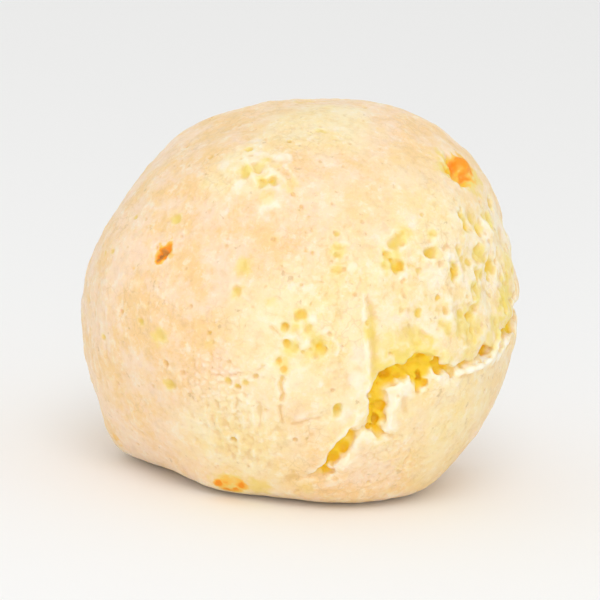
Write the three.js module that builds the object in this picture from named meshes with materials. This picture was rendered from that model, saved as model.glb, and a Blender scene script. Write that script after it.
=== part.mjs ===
// A pao de queijo, the small Brazilian cheese bread ball, as one solid of baked dough.
//
// Millimetres, +Z up. The origin is the middle of the flat foot it was baked on, and -Y is the front,
// where the crust has torn open. The ball is star-shaped about a heart at the level of its waist: every
// point of its skin is a direction from the heart and a radius, so the crust, the swells, the torn
// sponge, the tears and the open bubbles are all terms of one radius. A direction is written as a turn,
// in degrees round from the front towards the right, and a rise, in degrees above the waist.

import * as THREE from "three";

// Driving dimensions.
const WIDTH = 52; // side to side at the waist, before the swells
const DEPTH = 51; // front to back at the waist, before the swells
const HEIGHT = 44.6; // foot to crown, before the swells
const WAIST_HEIGHT = 20.8; // height of the widest level, where the heart is
const FOOT_WIDTH = 36; // the flat foot, before its edge is rounded
const FOOT_EDGE = 2.6; // how far the foot's edge is rounded
const HEART_BACK = -0.5; // the heart is a little off the middle, because the swells are uneven

// The crust's slow unevenness, and how the sponge lies where the crust has burst.
const CRUST_WAVE = { length: 19, height: 0.26, count: 10, seed: 5 };
const SPONGE_WAVE = { length: 6.2, height: 0.42, count: 14, seed: 23 };
const SPONGE_DROP = 0.45; // how far the sponge lies below the crust
const SPONGE_BORDER = 9; // degrees over which crust turns into sponge
const BORDER_WAVE = { length: 8, height: 2.2, count: 10, seed: 41 }; // wander of that border, in degrees

// Swells that make the ball uneven: [turn, rise, reach in degrees, lift in mm].
const SWELLS = [
  [108, 58, 34, 1.75], // full right shoulder
  [-94, 31, 24, -1], // flatter left shoulder
  [-107, 56, 12, 0.4], // fuller above it
  [-75, -22, 14, 0.75], // full low at the left
  [172, 85, 14, -1.6], // flattened crown
  [-86, -43, 12, 2.3], // heel at the lower left
  [-39, -56, 26, -2.3], // foot drawn in at the front left
  [-25, -51, 12, 1.7], // lip at the foot's front
  [54, -44, 12, 0.4], // full low at the right
  [160, 42, 28, 0.8], // full behind the crown
  [-150, -20, 28, 0.7], // full low at the back left
];

// Where the sponge shows: [turn, rise, reach in degrees, how far it has burst from 0 to 1].
const SPONGE_PATCHES = [
  [34, 14, 13, 0.8], // above the long tear
  [58, 15, 18, 0.9],
  [84, 20, 16, 0.9],
  [0, 3, 4, 0.3], // small bursts in the front crust
  [-23, 49, 5, 0.35],
  [-172, 32, 20, 1], // round the deep tear at the back
  [165, 14, 16, 1],
  [-112, 8, 5, 0.4], // small burst at the left
];

// Tears, as lines of [turn, rise, half width in mm, depth in mm].
const TEARS = [
  // the long tear under the front sponge, from the foot round to the right side
  [
    [2, -40, 0.3, 0.5],
    [12.5, -36.5, 0.9, 1.6],
    [13.6, -27, 0.9, 1.7],
    [19.5, -22.8, 0.7, 1.3],
    [23.6, -19.5, 1.0, 1.8],
    [22.2, -11, 1.0, 2.1],
    [27, -6.2, 1.2, 2.5],
    [35.5, -5.4, 1.9, 3.3],
    [41, -6.4, 0.8, 1.8],
    [48, -5.7, 0.6, 1.1],
    [60, -3.7, 0.6, 1.2],
    [70, -1.6, 1.0, 1.8],
    [84, 0.5, 1.3, 2.4],
    [98, 3, 1.1, 2.1],
    [112, 9, 0.7, 1.3],
    [121, 16, 0.3, 0.5],
  ],
  // the fold at the left of the front sponge
  [
    [17.8, 15, 0.4, 0.4],
    [19.4, 7, 0.7, 0.8],
    [21, -2, 0.5, 0.6],
  ],
  // the deep tear at the back, and its branch
  [
    [-170, 56, 0.4, 0.5],
    [-176, 46, 1.0, 1.8],
    [-173, 34, 1.5, 3.0],
    [179, 23, 1.2, 2.4],
    [168, 15, 1.4, 2.7],
    [156, 13, 0.6, 0.9],
  ],
  [
    [179, 23, 0.9, 1.8],
    [-168, 14, 1.1, 2.1],
    [-157, 13, 0.4, 0.7],
  ],
];
const TEAR_WAVE = { length: 3.4, height: 0.28, count: 12, seed: 7 }; // wander of a tear's edge
const TEAR_SLOPE = 0.7; // how far past a tear's edge its wall still slopes
const LIP = { lift: 0.28, reach: 1.3 }; // crust that curls up beside a tear

// Open bubbles large enough to be part of the form: [turn, rise, radius in mm, depth in mm].
const BUBBLES = [
  [29, 28.8, 1.3, 0.7],
  [24.7, 22.5, 1.5, 0.7],
  [46.5, 18.8, 1.0, 0.8],
  [39.1, 24.8, 1.1, 0.5],
  [62, 23, 1.2, 0.7],
  [56.6, 13.6, 1.2, 0.7],
  [50.4, 4.6, 1.8, 0.6],
  [32.4, 3.4, 1.0, 0.6],
  [72, 30, 1.3, 0.7],
  [5.5, 0.6, 1.3, 0.7],
  [-24.7, 46, 1.2, 0.6],
];

// Bubbles strewn over the sponge: how many are tried, their radius from least to most in mm, their
// depth as a share of it, how far inside the sponge they lie and how far apart they stay.
const STREWN = { tries: 520, least: 0.9, most: 2.1, depthShare: 0.5, inside: 0.5, apart: 1.05, seed: 91 };
const BUBBLE_SLOPE = { floor: 0.1, rim: 1.2 }; // where a bubble's wall starts and ends, in its radii

// Edge lengths of the faceted skin, in mm.
const FACET = { crust: 2.4, sponge: 1.0, tear: 0.9, foot: 4.2 };
const FOOT_MARGIN = 0.12; // radians inside the foot's edge where its coarse facets start
const FIRST_SPLIT = 7; // subdivision of the icosahedron that the skin starts from
const MOST_PASSES = 4;

const heart = new THREE.Vector3(0, HEART_BACK, WAIST_HEIGHT);
const radiusScale = (WIDTH + DEPTH) / 4; // turns an angle at the heart into millimetres on the skin
const upperHeight = HEIGHT - WAIST_HEIGHT;
// the lower half is the deeper ellipsoid whose section at the foot is FOOT_WIDTH across
const lowerHeight = WAIST_HEIGHT / Math.sqrt(1 - (FOOT_WIDTH / WIDTH) ** 2);

// The same sequence of numbers from 0 to 1 for the same seed.
function drawsFrom(seed) {
  let state = seed >>> 0;
  return () => {
    state = (Math.imul(state, 1664525) + 1013904223) >>> 0;
    return state / 4294967296;
  };
}

function toward(turn, rise) {
  const t = THREE.MathUtils.degToRad(turn);
  const r = THREE.MathUtils.degToRad(rise);
  return new THREE.Vector3(Math.sin(t) * Math.cos(r), -Math.cos(t) * Math.cos(r), Math.sin(r));
}

// A point drawn evenly over the unit sphere.
function drawnDirection(draw) {
  const z = 2 * draw() - 1;
  const angle = 2 * Math.PI * draw();
  const ring = Math.sqrt(1 - z * z);
  return new THREE.Vector3(ring * Math.cos(angle), ring * Math.sin(angle), z);
}

// Smooth random relief: plane waves of one length, in drawn directions, added up.
function relief({ length, height, count, seed }) {
  const draw = drawsFrom(seed);
  const waves = Array.from({ length: count }, () => ({
    along: drawnDirection(draw).multiplyScalar((2 * Math.PI) / length),
    phase: 2 * Math.PI * draw(),
  }));
  const share = height * Math.sqrt(2 / count);
  return (point) => share * waves.reduce((sum, w) => sum + Math.sin(w.along.dot(point) + w.phase), 0);
}

function smoothstep(low, high, value) {
  const t = Math.min(1, Math.max(0, (value - low) / (high - low)));
  return t * t * (3 - 2 * t);
}

// The lesser of two lengths, with the corner between them rounded over the given span.
function roundedLesser(a, b, span) {
  const h = Math.max(0, span - Math.abs(a - b)) / span;
  return Math.min(a, b) - (h * h * span) / 4;
}

const crustRelief = relief(CRUST_WAVE);
const spongeRelief = relief(SPONGE_WAVE);
const borderRelief = relief(BORDER_WAVE);
const tearRelief = relief(TEAR_WAVE);

function bodyRadius(direction) {
  const vertical = direction.z > 0 ? upperHeight : lowerHeight;
  return 1 / Math.hypot((2 * direction.x) / WIDTH, (2 * direction.y) / DEPTH, direction.z / vertical);
}

const swells = SWELLS.map(([turn, rise, reach, lift]) => ({ centre: toward(turn, rise), reach, lift }));

function swellLift(direction) {
  return swells.reduce((sum, { centre, reach, lift }) => {
    const away = THREE.MathUtils.radToDeg(direction.angleTo(centre)) / reach;
    return sum + lift * Math.exp(-away * away);
  }, 0);
}

const patches = SPONGE_PATCHES.map(([turn, rise, reach, burst]) => {
  return { centre: toward(turn, rise), reach, burst };
});

// How far a point of the skin is sponge: 0 on whole crust, up to 1 well inside a patch.
function spongeShare(direction, point) {
  const wander = borderRelief(point);
  const half = SPONGE_BORDER / 2;
  return patches.reduce((most, { centre, reach, burst }) => {
    const away = THREE.MathUtils.radToDeg(direction.angleTo(centre)) + wander;
    return Math.max(most, burst * (1 - smoothstep(reach - half, reach + half, away)));
  }, 0);
}

const tears = TEARS.map((line) =>
  line.map(([turn, rise, halfWidth, depth]) => ({
    at: toward(turn, rise).multiplyScalar(radiusScale),
    halfWidth,
    depth,
  })),
);

// The nearest tear to a point of the skin: how far it is, and how wide and deep it is there.
function nearestTear(point) {
  const best = { away: Infinity, halfWidth: 1, depth: 0 };
  const along = new THREE.Vector3();
  const offset = new THREE.Vector3();
  for (const line of tears) {
    for (let i = 0; i + 1 < line.length; i++) {
      along.subVectors(line[i + 1].at, line[i].at);
      offset.subVectors(point, line[i].at);
      const t = THREE.MathUtils.clamp(offset.dot(along) / along.lengthSq(), 0, 1);
      const halfWidth = THREE.MathUtils.lerp(line[i].halfWidth, line[i + 1].halfWidth, t);
      const away = offset.addScaledVector(along, -t).length() - halfWidth;
      if (away < best.away) {
        best.away = away;
        best.halfWidth = halfWidth;
        best.depth = THREE.MathUtils.lerp(line[i].depth, line[i + 1].depth, t);
      }
    }
  }
  return best;
}

// Depth of the tear's trough, less the curl of the crust beside it.
function tearDepth(point) {
  const { away, halfWidth, depth } = nearestTear(point);
  const edge = away + tearRelief(point);
  const trough = depth * (1 - smoothstep(-halfWidth, TEAR_SLOPE, edge));
  const curl = LIP.lift * Math.min(1, depth) * Math.exp(-(((edge - LIP.reach) / LIP.reach) ** 2));
  return trough - curl;
}

// Bubbles: those placed one by one, and those strewn where the sponge shows.
function makeBubbles() {
  const placed = BUBBLES.map(([turn, rise, radius, depth]) => ({
    at: toward(turn, rise).multiplyScalar(radiusScale),
    radius,
    depth,
  }));
  const draw = drawsFrom(STREWN.seed);
  const bubbles = [...placed];
  for (let i = 0; i < STREWN.tries; i++) {
    const direction = drawnDirection(draw);
    const radius = STREWN.least + (STREWN.most - STREWN.least) * draw() ** 3;
    const at = direction.clone().multiplyScalar(radiusScale);
    const crowded = bubbles.some((b) => b.at.distanceTo(at) < (b.radius + radius) * STREWN.apart);
    const shown = spongeShare(direction, at) > STREWN.inside && nearestTear(at).away > radius;
    if (shown && !crowded) bubbles.push({ at, radius, depth: radius * STREWN.depthShare });
  }
  return bubbles;
}

const bubbles = makeBubbles();

function bubbleDepth(point) {
  const { floor, rim } = BUBBLE_SLOPE;
  return bubbles.reduce((sum, { at, radius, depth }) => {
    const away = at.distanceTo(point) / radius;
    return away < rim ? sum + depth * (1 - smoothstep(floor, rim, away)) : sum;
  }, 0);
}

function skinRadius(direction) {
  const point = direction.clone().multiplyScalar(radiusScale);
  const sponge = spongeShare(direction, point);
  const crust = bodyRadius(direction) + swellLift(direction) + crustRelief(point);
  const relieved = crust + sponge * (spongeRelief(point) - SPONGE_DROP);
  const radius = relieved - tearDepth(point) - bubbleDepth(point);
  if (direction.z >= 0) return radius;
  return roundedLesser(radius, WAIST_HEIGHT / -direction.z, FOOT_EDGE);
}

// The edge length that the skin needs at a direction.
function facetLength(direction) {
  const point = direction.clone().multiplyScalar(radiusScale);
  const footAngle = Math.atan2(WAIST_HEIGHT, FOOT_WIDTH / 2);
  if (-Math.asin(direction.z) > footAngle + FOOT_MARGIN) return FACET.foot;
  if (nearestTear(point).away < LIP.reach) return FACET.tear;
  return THREE.MathUtils.lerp(FACET.crust, FACET.sponge, spongeShare(direction, point));
}

// Splits every edge of a sphere's triangles that is longer than facetLength asks, with no gap left
// between neighbours: a triangle is cut into two, three or four by how many of its edges are split.
function refine(directions, triangles) {
  const middles = new Map();
  function middleOf(a, b) {
    const key = a < b ? `${a},${b}` : `${b},${a}`;
    if (!middles.has(key)) {
      const middle = directions[a].clone().add(directions[b]).normalize();
      const length = directions[a].distanceTo(directions[b]) * radiusScale;
      const split = length > facetLength(middle);
      middles.set(key, split ? directions.push(middle) - 1 : null);
    }
    return middles.get(key);
  }
  return triangles.flatMap((corners) => {
    const mids = corners.map((corner, i) => middleOf(corner, corners[(i + 1) % 3]));
    const splits = mids.filter((m) => m !== null).length;
    if (splits === 0) return [corners];
    // turn the triangle so that its whole edges, if any, come last
    const start = splits === 1 ? mids.findIndex((m) => m !== null) : (mids.indexOf(null) + 1) % 3;
    const [a, b, c] = [0, 1, 2].map((i) => corners[(start + i) % 3]);
    const [ab, bc, ca] = [0, 1, 2].map((i) => mids[(start + i) % 3]);
    if (splits === 1) return [[a, ab, c], [ab, b, c]];
    if (splits === 2) return [[ab, b, bc], [a, ab, bc], [a, bc, c]];
    return [[a, ab, ca], [ab, b, bc], [ca, bc, c], [ab, bc, ca]];
  });
}

// An even sphere of directions, whose corners are shared between its triangles.
function sphereOfDirections() {
  const positions = new THREE.IcosahedronGeometry(1, FIRST_SPLIT).getAttribute("position");
  const numbers = new Map();
  const directions = [];
  const triangles = [];
  for (let i = 0; i < positions.count; i++) {
    const corner = new THREE.Vector3().fromBufferAttribute(positions, i).normalize();
    const key = corner.toArray().map((x) => Math.round(x * 1e4)).join();
    if (!numbers.has(key)) numbers.set(key, directions.push(corner) - 1);
    if (i % 3 === 0) triangles.push([]);
    triangles.at(-1).push(numbers.get(key));
  }
  return { directions, triangles };
}

function cheeseBallGeometry() {
  const sphere = sphereOfDirections();
  const { directions } = sphere;
  let { triangles } = sphere;
  for (let pass = 0; pass < MOST_PASSES; pass++) triangles = refine(directions, triangles);
  const points = directions.map((d) => d.clone().multiplyScalar(skinRadius(d)).add(heart));
  const geometry = new THREE.BufferGeometry().setFromPoints(points);
  geometry.setIndex(triangles.flat());
  geometry.computeVertexNormals();
  return geometry;
}

const crust = new THREE.MeshStandardMaterial({ color: 0xf2d9a6, roughness: 0.7, metalness: 0 });

const cheeseBall = new THREE.Mesh(cheeseBallGeometry(), crust);
cheeseBall.name = "cheese_ball";

const paoDeQueijo = new THREE.Group();
paoDeQueijo.add(cheeseBall);

export default paoDeQueijo;
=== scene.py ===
"""A pao de queijo, the small Brazilian cheese bread ball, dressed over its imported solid.

The solid's form is repeated as a radius for each direction from the ball's heart, charted over turn
and rise in degrees. The chart takes the crust's fine relief: wrinkles, crackle, fine cracks, ridges
and the lips of the tears. A voxel field of that skin is then cut with the ragged tears, the open
bubbles of the sponge and the crust's pinholes, takes the flake that hangs across a tear and a bit
of browned cheese, and becomes one mesh. Form lengths are in millimetres, and the mesh is brought to
the frame's metres at the end.
"""

import math

import bpy
import numpy as np
import openvdb
from mathutils import Matrix, Vector


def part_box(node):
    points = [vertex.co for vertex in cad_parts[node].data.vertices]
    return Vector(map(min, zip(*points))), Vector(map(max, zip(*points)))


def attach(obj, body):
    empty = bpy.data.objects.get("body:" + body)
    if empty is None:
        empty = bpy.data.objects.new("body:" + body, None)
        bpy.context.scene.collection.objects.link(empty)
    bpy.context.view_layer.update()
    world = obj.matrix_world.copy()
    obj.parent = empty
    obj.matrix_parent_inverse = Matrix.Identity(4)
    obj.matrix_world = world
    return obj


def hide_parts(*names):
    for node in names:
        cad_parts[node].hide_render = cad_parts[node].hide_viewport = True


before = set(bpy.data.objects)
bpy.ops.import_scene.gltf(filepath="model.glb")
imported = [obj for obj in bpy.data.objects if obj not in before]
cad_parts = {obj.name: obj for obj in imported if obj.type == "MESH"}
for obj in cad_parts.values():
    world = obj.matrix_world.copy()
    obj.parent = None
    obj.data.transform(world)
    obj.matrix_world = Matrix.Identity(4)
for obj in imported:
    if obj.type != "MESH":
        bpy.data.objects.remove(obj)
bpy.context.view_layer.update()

# The solid's form, as it was built, in millimetres.
WIDTH = 52
DEPTH = 51
HEIGHT = 44.6
WAIST_HEIGHT = 20.8
FOOT_WIDTH = 36
FOOT_EDGE = 2.6
HEART_BACK = -0.5
SOLID_WIDTH = 52.50  # the solid's whole width, which the frame's box gives in metres
CRUST_WAVE = dict(length=19, height=0.26, count=10, seed=5)
SPONGE_WAVE = dict(length=6.2, height=0.42, count=14, seed=23)
SPONGE_DROP = 0.45
SPONGE_BORDER = 9
BORDER_WAVE = dict(length=8, height=2.2, count=10, seed=41)
TEAR_WAVE = dict(length=3.4, height=0.28, count=12, seed=7)
LIP_LIFT = 0.28
LIP_REACH = 1.3

# Swells of the body: (turn, rise, reach in degrees, lift).
SWELLS = [
    (108, 58, 34, 1.75), (-94, 31, 24, -1), (-107, 56, 12, 0.4), (-75, -22, 14, 0.75),
    (172, 85, 14, -1.6), (-86, -43, 12, 2.3), (-39, -56, 26, -2.3), (-25, -51, 12, 1.7),
    (54, -44, 12, 0.4), (160, 42, 28, 0.8), (-150, -20, 28, 0.7),
]

# Where the sponge shows: (turn, rise, reach in degrees, how far it has burst).
SPONGE_PATCHES = [
    (34, 14, 13, 0.8), (58, 15, 18, 0.9), (84, 20, 16, 0.9), (0, 3, 4, 0.3), (-23, 49, 5, 0.35),
    (-172, 32, 20, 1.0), (165, 14, 16, 1.0), (-112, 8, 5, 0.4),
]

# Where the crust is thin and creamy rather than warm: (turn, rise, reach in degrees).
CREAM_PATCHES = [
    (45, 12, 42), (2, 2, 22), (20, -18, 18), (-14, -30, 20), (52, -22, 18), (-22, 45, 10),
    (-172, 26, 44), (-110, 6, 16), (8, 72, 17),
]

# Tears, each a line of corners: (turn, rise, half width, depth).
TEARS = [
    [
        (2, -40, 0.2, 0.3), (7.7, -38, 0.4, 0.6), (12, -34.5, 0.8, 1.1), (13.8, -30, 0.75, 1.1),
        (16.9, -25.6, 0.65, 1.0), (20.5, -22.8, 0.65, 1.0), (23.6, -20.0, 1.45, 1.5),
        (23.5, -17.6, 1.1, 1.5), (22.9, -14.0, 0.8, 1.3), (22.5, -10, 0.85, 1.3),
        (25.8, -6.6, 0.85, 1.4), (30.5, -4.9, 0.95, 1.4), (35.4, -4.6, 1.4, 1.6), (40, -5.8, 0.5, 1.0),
        (44.8, -6.1, 0.55, 0.9), (51, -5.0, 0.25, 0.5), (58, -3.4, 0.55, 1.0), (67, -2.9, 0.7, 1.0),
        (74.5, -0.6, 0.9, 1.3), (84, 0.5, 1.3, 1.7), (98, 3, 1.1, 1.7), (112, 9, 0.7, 1.2),
        (121, 16, 0.3, 0.5),
    ],
    [(35.6, -5.6, 1.4, 1.6), (35.4, -7.8, 1.25, 1.5), (35.2, -9.6, 0.8, 1.2), (35.0, -11.4, 0.3, 0.8)],
    [(23.4, -22, 0.3, 1.2), (27, -24, 0.15, 0.8), (31.2, -25.4, 0.08, 0.4)],
    [
        (-170, 56, 0.4, 0.4), (-176, 46, 1.0, 1.5), (-173, 34, 1.5, 2.4), (179, 23, 1.2, 2.0),
        (168, 15, 1.4, 2.2), (156, 13, 0.6, 0.8),
    ],
    [(179, 23, 0.9, 1.6), (-168, 14, 1.1, 1.8), (-157, 13, 0.4, 0.6)],
]
TEAR_UNDERCUT = 0.3  # how far the crumb under the crust is torn back
TEAR_CLOSING = 0.4  # how much more than its half width a tear closes towards its depth
TEAR_CRUMPLE = 0.22  # how uneven its walls are
TEAR_ROUNDING = 0.35

# Pits that can be told apart: (turn, rise, radius, sink). The greater the sink, the deeper the pit
# lies in the skin, in its own radii.
PITS = [
    (29, 28.8, 0.75, 0.0), (27, 27.2, 0.6, 0.1), (24.7, 22.5, 0.95, -0.1), (27, 21.5, 0.7, 0.0),
    (46.5, 18.8, 0.75, 0.2), (39.1, 24.6, 0.7, -0.1), (40.5, 29.4, 0.5, -0.1),
    (62, 23, 0.85, 0.1), (64, 20.5, 0.6, 0.1), (56.6, 13.6, 0.8, 0.0), (58, 16.4, 0.6, 0.0),
    (50.4, 4.6, 1.9, -0.9), (46.5, 3.0, 0.7, -0.4), (41.4, 4.8, 0.6, -0.3), (32.4, 3.4, 0.9, -0.6),
    (56.7, 32.5, 0.8, -0.2), (73, 30, 0.9, -0.1), (66, 29, 0.7, -0.1),
    (0.8, 8.5, 0.55, 0.0), (-3, 4.6, 0.35, 0.0), (-2.2, 0.6, 0.45, 0.0), (-0.2, -0.8, 0.45, 0.0),
    (5.2, 1.6, 0.8, -0.2), (5.9, -0.8, 0.75, -0.2), (2.6, 5.2, 0.5, -0.1), (-2.7, -6.3, 0.5, 0.0),
    (-4.2, -4.0, 0.35, 0.0),
    (12.4, -16.2, 0.42, 0.3), (12.4, -17.6, 0.42, 0.3),
    (-42.6, 28.5, 0.5, 0.0), (-41.4, 19.6, 0.42, 0.2), (-42.4, 17.6, 0.42, 0.2),
    (-60.8, 14.7, 0.26, 0.2), (-65, 13.3, 0.24, 0.2), (-59.4, 25.2, 0.28, 0.2),
    (-16.4, 18.5, 0.75, -0.35), (-17, 12.2, 0.6, -0.35), (-37.6, -2.6, 0.8, -0.45),
    (-41.8, 18.2, 0.6, 0.2), (-40.6, 20.0, 0.5, 0.1),
    (-44.1, -0.2, 0.35, 0.0), (-35.1, -15.6, 0.6, -0.35), (-60, -7.5, 0.3, 0.1),
    (-17.2, -10.8, 0.35, 0.0), (-12.3, -10.7, 0.35, 0.0), (-14.6, -12.0, 0.28, 0.0),
    (9.7, 30.3, 0.3, 0.0), (9.6, 26.5, 0.5, -0.1), (9.7, 24.4, 0.4, -0.1), (9.1, 20.2, 0.55, -0.25),
    (5.6, 66.7, 0.35, -0.1), (7.4, 66.2, 0.3, -0.1),
    (-24.7, 45.9, 0.85, -0.1), (-21.5, 47.8, 0.7, -0.2), (-30.1, 54.2, 0.4, 0.1),
    (-13.3, 44.0, 0.5, -0.1), (-16.5, 42.6, 0.6, -0.1),
]

# Fine cracks: half width, depth, then (turn, rise) along the line.
FINE_CRACKS = [
    (0.7, 0.32, [(17.4, 15), (18.9, 9), (18.6, 5), (20.4, 1), (21.0, -4), (22.6, -8)]),
    (0.26, 0.4, [(-2.6, -7.4), (-3.4, -10), (-2.5, -12.9), (-3.2, -15.5)]),
    (0.24, 0.3, [(-3.2, -15.5), (-2.9, -18.5), (-1.9, -22.5)]),
    (0.24, 0.25, [(-0.5, -21.6), (2.4, -21.3), (5.2, -19.8), (9.4, -18.8)]),
    (0.3, 0.35, [(24, -22.6), (27, -23.6), (31.5, -25.2)]),
    (0.24, 0.2, [(-8, 5.2), (-5.4, 3.4), (-3.4, 2.2)]),
    (0.22, 0.18, [(-6.5, -5), (-10, -7.5), (-13, -8.2), (-18, -9.6), (-23, -10.2)]),
    (0.22, 0.16, [(38, -30), (37, -33), (38.2, -36)]),
    (0.22, 0.16, [(-58, -28), (-56, -33), (-50, -36)]),
    (0.26, 0.25, [(-95, 30), (-90, 26), (-92, 20), (-88, 14)]),
    (0.26, 0.25, [(-130, -10), (-126, -16), (-128, -24)]),
    (0.26, 0.25, [(140, -8), (145, -14), (143, -22), (148, -30)]),
]

# Ridges of stretched skin: height, half width, then (turn, rise) along the line.
RIDGES = [
    (0.34, 0.55, [(16.2, 17), (17.2, 10), (18.0, 4), (18.6, -3), (19.8, -9), (20.2, -15)]),
    (0.3, 0.5, [(20.2, -15), (18, -20), (14.2, -24.2), (10.6, -29)]),
    (0.34, 0.5, [(58, -6.4), (63, -6.3), (68, -5.4), (73, -3.2), (79, -1.8)]),
    (0.3, 0.5, [(27, -9.4), (29.5, -12.5), (27.5, -17), (27.6, -21.4), (33, -22.2)]),
    (0.3, 0.45, [(38.8, -9.6), (40.5, -6.8), (41.2, -2.5), (40, 0.5)]),
    (0.22, 0.4, [(43, 1), (50, -1.2), (58, 1.6)]),
    (0.2, 0.4, [(8.4, 4.4), (10.4, 0.6), (10.2, -3.4)]),
    (0.2, 0.4, [(-2.8, 6.8), (0.4, 5.8), (2.4, 2.0), (1.6, -2.6)]),
    (0.26, 0.5, [(-32, 52), (-27, 49.5), (-22, 45.5), (-18, 41)]),
    (0.22, 0.45, [(-22, 53), (-16, 47.5), (-10, 45), (-6, 41)]),
    (0.2, 0.4, [(-14, 51), (-7, 47), (-2, 43)]),
    (0.26, 0.5, [(66, 34), (72, 26), (70, 16), (64, 8)]),
    (0.2, 0.5, [(15.5, -27), (17.5, -31.5), (17.2, -37)]),
    (0.3, 0.6, [(-160, 46), (-163, 34), (-168, 24)]),
    (0.3, 0.6, [(172, 42), (166, 32), (170, 22)]),
]

# The flake of crust that hangs across the tear at the right: (turn, rise, lift) along its middle.
STRAND_RADIUS = 0.42
STRAND_BEADS = 91
STRAND = [
    (46, -7.4, -0.1), (51, -6.8, 0.15), (56, -6.2, 0.3), (60, -5.2, 0.35), (63, -3.2, 0.35),
    (65, -1.0, 0.25), (66, 1.0, 0.0),
]

# Spots of another colour, each (turn, rise, reach in mm, strength): browned, egg yellow where the
# crumb shows through, and the near-white flakes of starch. From 0.95 on toast goes over to brown.
TOASTS = [
    (76, 44.9, 2.1, 1.0), (80, 45.4, 1.1, 1.12), (69, 45.2, 2.6, 0.4), (73, 42.4, 2.4, 0.4),
    (-42.8, 17.0, 0.9, 1.18), (-41.6, 18.6, 1.1, 1.14), (-40.4, 20.4, 0.9, 0.88), (-41.2, 19.4, 1.9, 0.4),
    (-20, -46, 2.0, 0.4), (-25, -45.6, 0.8, 1.0), (-22.5, -47.8, 0.6, 1.05), (-16, -45.8, 0.8, 0.95),
    (-22, -44.8, 0.5, 0.75), (-18.5, -47.2, 0.6, 0.9),
    (1.0, 8.3, 0.8, 0.3), (-3.8, -4.5, 0.6, 0.4), (-2.7, -6.3, 0.6, 0.45), (-49.9, 12.7, 0.35, 0.4),
    (-110, 12, 1.3, 0.7), (150, -22, 1.4, 0.85), (-150, 18, 0.9, 0.6), (128, -30, 1.0, 0.5),
    (-75, -40, 1.4, 0.4), (176, 4, 0.8, 0.5), (-125, 44, 0.9, 0.9), (115, 60, 0.7, 0.5),
]
YOLKS = [
    (69, 46, 2.9, 1.0), (62, 47, 1.5, 0.8), (73, 41, 2.1, 1.0), (80, 41, 1.6, 0.8),
    (1.0, 8.3, 1.0, 0.9), (-3.1, 4.6, 0.8, 0.8), (-0.2, 5.4, 1.0, 0.7), (5.5, 0.2, 1.9, 0.65),
    (3.2, 3.6, 1.2, 0.6), (-1.2, -0.7, 1.1, 0.85), (-3.8, -4.5, 0.9, 0.75),
    (18.7, 7.2, 0.9, 0.8), (19.2, 4.4, 1.1, 1.0), (20.2, 1.2, 1.0, 0.6), (21.4, -3.0, 1.4, 0.8),
    (18.4, 10.5, 0.7, 0.4),
    (31.8, 2.9, 1.5, 0.8), (41.5, 4.8, 1.0, 0.8), (49.3, 5.0, 2.5, 0.7), (46.5, 18.6, 1.2, 1.0),
    (57.0, 13.5, 1.4, 0.7), (61.8, 22.0, 1.5, 0.8), (40.2, 24.7, 1.2, 0.6), (25.6, 22.7, 1.6, 0.8),
    (76.6, 10, 2.6, 0.9), (71.5, 7, 2.8, 1.0), (64.3, 2.6, 1.8, 0.7), (30.6, 29.9, 1.2, 0.7),
    (80, 16, 2.2, 0.6),
    (56.7, 32.5, 1.3, 0.5), (40.0, 29.4, 0.9, 0.5), (27.4, 10.5, 1.0, 0.35), (36, 12, 1.6, 0.3),
    (27, 1.5, 2.4, 0.5), (34, -1.2, 2.2, 1.0), (28, -2.6, 2.2, 1.0), (23.0, -5.4, 1.9, 0.95),
    (41, -3.0, 1.4, 0.6), (50, -2.5, 1.5, 0.5), (60, -0.6, 1.6, 0.6),
    (-16.3, 18.8, 1.3, 0.7), (-16.4, 12.3, 1.2, 0.45), (9.5, 20.0, 1.0, 0.6), (9.6, 25.5, 1.2, 0.6),
    (-37.6, -2.6, 1.3, 0.7), (-42.6, 28.3, 0.9, 0.85), (-35, -15.5, 0.9, 0.4), (-7.4, 11, 0.7, 0.5),
    (-24.6, 45.9, 1.2, 0.9), (-17.4, 43.4, 0.9, 0.7), (-19.4, 50.6, 0.8, 0.6), (-13.5, 39.1, 1.3, 0.5),
    (-7.0, 43.4, 1.2, 0.55), (3.8, 66.8, 0.7, 0.6), (12.4, -16.9, 0.7, 1.0), (-23, -2, 0.8, 0.3),
    (54, -30, 9, 0.14), (7, -42, 1.2, 0.4), (-20, -45.5, 2.4, 0.8), (-10, -45, 1.8, 0.7),
    (26, -24.5, 0.6, 0.6),
]
FLAKES = [
    (-12.9, 52.0, 1.2, 0.8), (-24.6, 41.3, 1.1, 0.7), (-12.1, 36.2, 1.4, 0.8), (-31.2, 58.4, 0.9, 0.6),
    (-35, 46.5, 1.1, 0.5), (-22, 53, 0.9, 0.6), (-20.5, 48, 0.7, 0.7), (-10.5, 42, 0.8, 0.6),
    (30.5, -11, 1.4, 0.7), (27.5, -13.5, 1.1, 0.6), (28.5, -20.5, 1.2, 0.6), (26, -22.4, 0.8, 0.6),
    (39.6, -4.0, 0.9, 0.8), (41, -8.5, 0.9, 0.6), (17, -1, 1.3, 0.6), (17.2, -9, 1.2, 0.6),
    (15.5, -17.5, 1.2, 0.7), (3.6, 7.4, 0.7, 0.7), (2.6, 1.2, 0.7, 0.9), (-1.4, 2.0, 0.7, 0.6),
    (50, -6.8, 0.8, 1.0), (54, -6.4, 0.9, 1.0), (58, -5.8, 0.9, 1.0), (62, -5.0, 0.9, 1.0),
    (64, -2.8, 0.8, 1.0), (66.6, -5.6, 1.0, 0.9), (72, -3.8, 0.9, 0.7), (20, -28, 0.9, 0.5),
    (38, 19, 1.8, 0.45), (45, 22, 0.9, 0.6), (50.5, 16, 0.9, 0.5), (34.5, 33, 1.0, 0.5), (60, 17, 0.9, 0.6),
]
CHEESE_CRUMB = (76.5, 45.6)  # the browned bit of cheese in its shallow pit
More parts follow.
